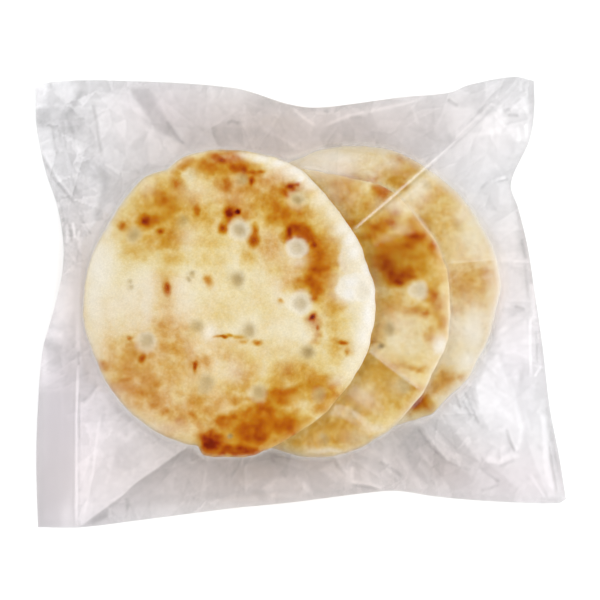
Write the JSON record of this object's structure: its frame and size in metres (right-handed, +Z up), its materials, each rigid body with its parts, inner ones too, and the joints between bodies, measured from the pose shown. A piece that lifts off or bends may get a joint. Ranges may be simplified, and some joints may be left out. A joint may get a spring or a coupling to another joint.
{
  "type": "bagged focaccia",
  "caption": "Sealed clear film bag of round dimpled focaccia, lying flat, with a wide welded strip at one end, a narrow one at the other and creased film over the stacked breads.",
  "frame": {"origin": "centre of the bag's bounding box in plan, on the table", "axes": "+X along the bag towards its narrow seal, +Y up the shown side, +Z up from the table towards the shown side"},
  "size_m": [0.3342, 0.2834, 0.0418],
  "materials": {
    "film": "clear gloss film",
    "bread": "baked crust, floury and toasted in patches"
  },
  "bodies": {
    "root": {"bag": "film"}
  },
  "joints": []
}
